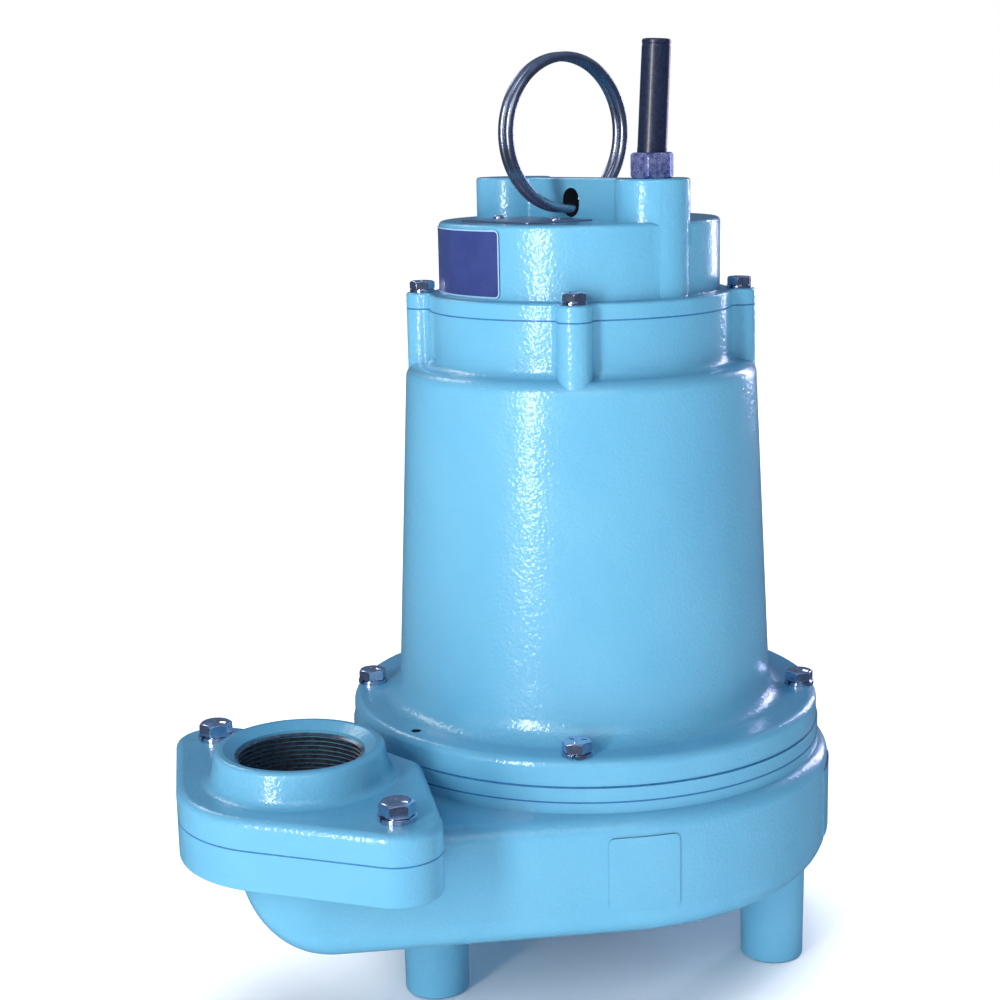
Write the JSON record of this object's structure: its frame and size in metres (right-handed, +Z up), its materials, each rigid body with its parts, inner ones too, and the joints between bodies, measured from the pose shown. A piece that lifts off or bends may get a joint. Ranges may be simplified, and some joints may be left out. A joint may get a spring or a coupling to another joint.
{
  "type": "submersible effluent pump",
  "caption": "Submersible effluent pump: tapered motor housing on a volute casing with legs, oval flanged side discharge, gasketed cap and a swinging lifting ring.",
  "frame": {"origin": "on the floor, under the middle of the pump's footprint", "axes": "+Z up along the motor shaft, -Y to the front where the discharge elbow shows at the left"},
  "size_m": [0.3272, 0.318, 0.4652],
  "materials": {
    "blue_enamel": "glossy sky blue enamel over cast iron",
    "gasket_fibre": "thin fibre gasket, painted over",
    "zinc_steel": "zinc plated steel",
    "gland_zinc": "zinc plate with a blue tinge",
    "ring_steel": "plain steel wire, a little dull",
    "black_rubber": "black rubber",
    "plate_metal": "grey metal, bare of print",
    "label_vinyl": "navy label, bare of print",
    "shaft_steel": "machined steel",
    "impeller_iron": "cast iron, unpainted"
  },
  "bodies": {
    "pump": {"volute_casing": "blue_enamel", "discharge_gasket": "gasket_fibre", "discharge_flange": "blue_enamel", "casing_gasket": "gasket_fibre", "seal_plate": "blue_enamel", "motor_gasket": "gasket_fibre", "motor_housing": "blue_enamel", "cap_gasket": "gasket_fibre", "motor_cap": "blue_enamel", "motor_shaft": "shaft_steel", "impeller": "impeller_iron", "impeller_nut": "shaft_steel", "gland_nut": "gland_zinc", "strain_relief": "black_rubber", "nameplate": "plate_metal", "side_label": "label_vinyl", "nameplate_screw_left": "zinc_steel", "nameplate_screw_right": "zinc_steel", "base_washer_right": "zinc_steel", "base_bolt_right": "zinc_steel", "base_washer_back": "zinc_steel", "base_bolt_back": "zinc_steel", "base_washer_left": "zinc_steel", "base_bolt_left": "zinc_steel", "base_washer_front": "zinc_steel", "base_bolt_front": "zinc_steel", "cap_washer_right": "zinc_steel", "cap_bolt_right": "zinc_steel", "cap_washer_back": "zinc_steel", "cap_bolt_back": "zinc_steel", "cap_washer_left": "zinc_steel", "cap_bolt_left": "zinc_steel", "cap_washer_front": "zinc_steel", "cap_bolt_front": "zinc_steel", "discharge_washer_front": "zinc_steel", "discharge_bolt_front": "zinc_steel", "discharge_washer_back": "zinc_steel", "discharge_bolt_back": "zinc_steel"},
    "ring": {"lifting_ring": "ring_steel"}
  },
  "joints": [
    {"name": "ring_swing", "type": "hinge", "parent": "pump", "child": "ring", "pos_m": [0.03648, 0.03568, 0.38735], "axis": [0.7431, 0.6691, 0], "range_deg": [-60, 32]}
  ]
}
